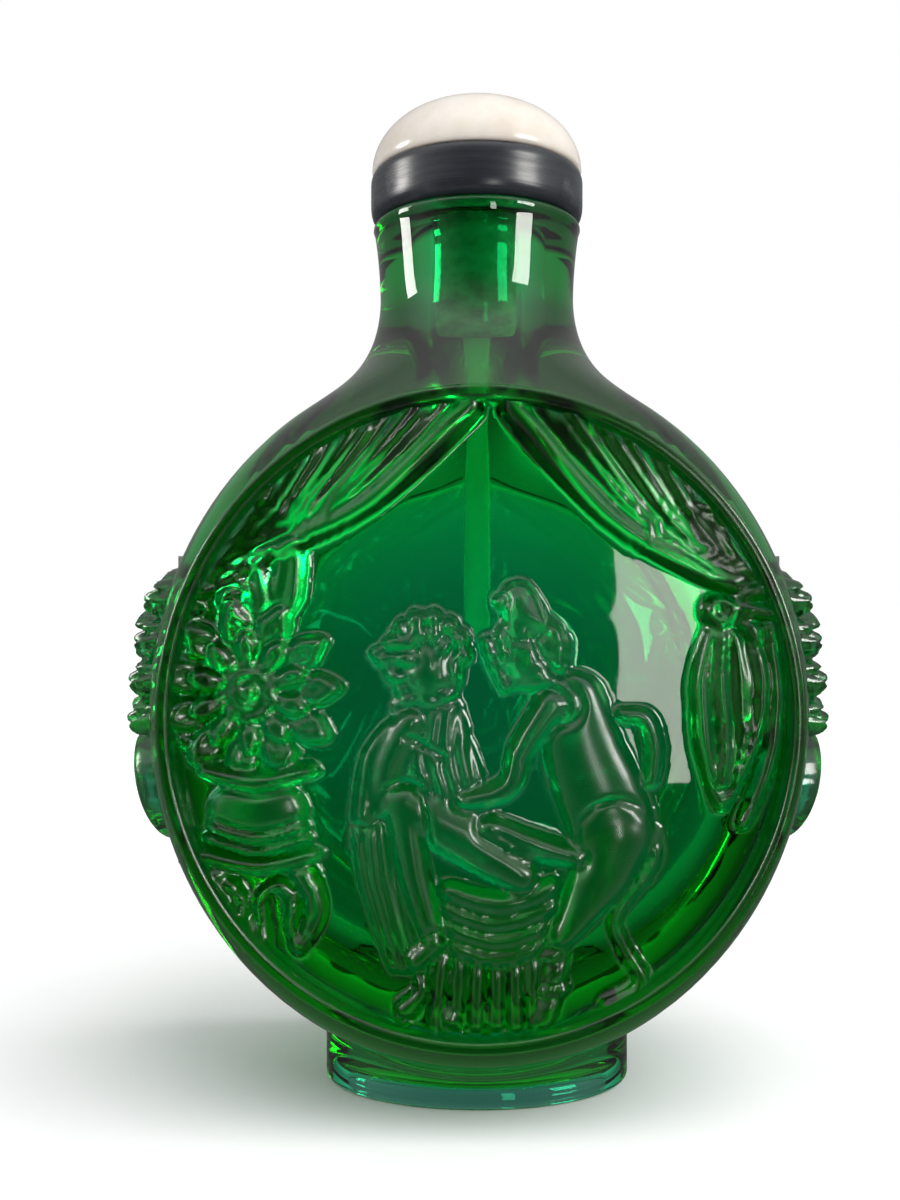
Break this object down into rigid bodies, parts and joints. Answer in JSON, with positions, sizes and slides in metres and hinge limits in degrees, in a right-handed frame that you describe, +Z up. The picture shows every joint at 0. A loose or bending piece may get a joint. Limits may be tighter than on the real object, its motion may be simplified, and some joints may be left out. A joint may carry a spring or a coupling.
{
  "type": "snuff bottle",
  "caption": "Flattened round snuff bottle of carved green glass with a relief panel, mask-and-ring handles, an oval foot and a domed stopper with a cork and spoon.",
  "frame": {"origin": "on the standing plane, under the middle of the foot", "axes": "+Z up through the neck, -Y out of the carved front panel, +X to the right of the front panel"},
  "size_m": [0.0536, 0.0252, 0.076],
  "materials": {
    "green_glass": "polished emerald green glass",
    "black_collar": "worn satin black",
    "pale_stone": "polished cream",
    "cork": "raw cork",
    "spoon": "pale bone colour"
  },
  "bodies": {
    "root": {"bottle": "green_glass", "stopper_collar": "black_collar", "stopper_cabochon": "pale_stone", "stopper_cork": "cork", "snuff_spoon": "spoon"}
  },
  "joints": []
}
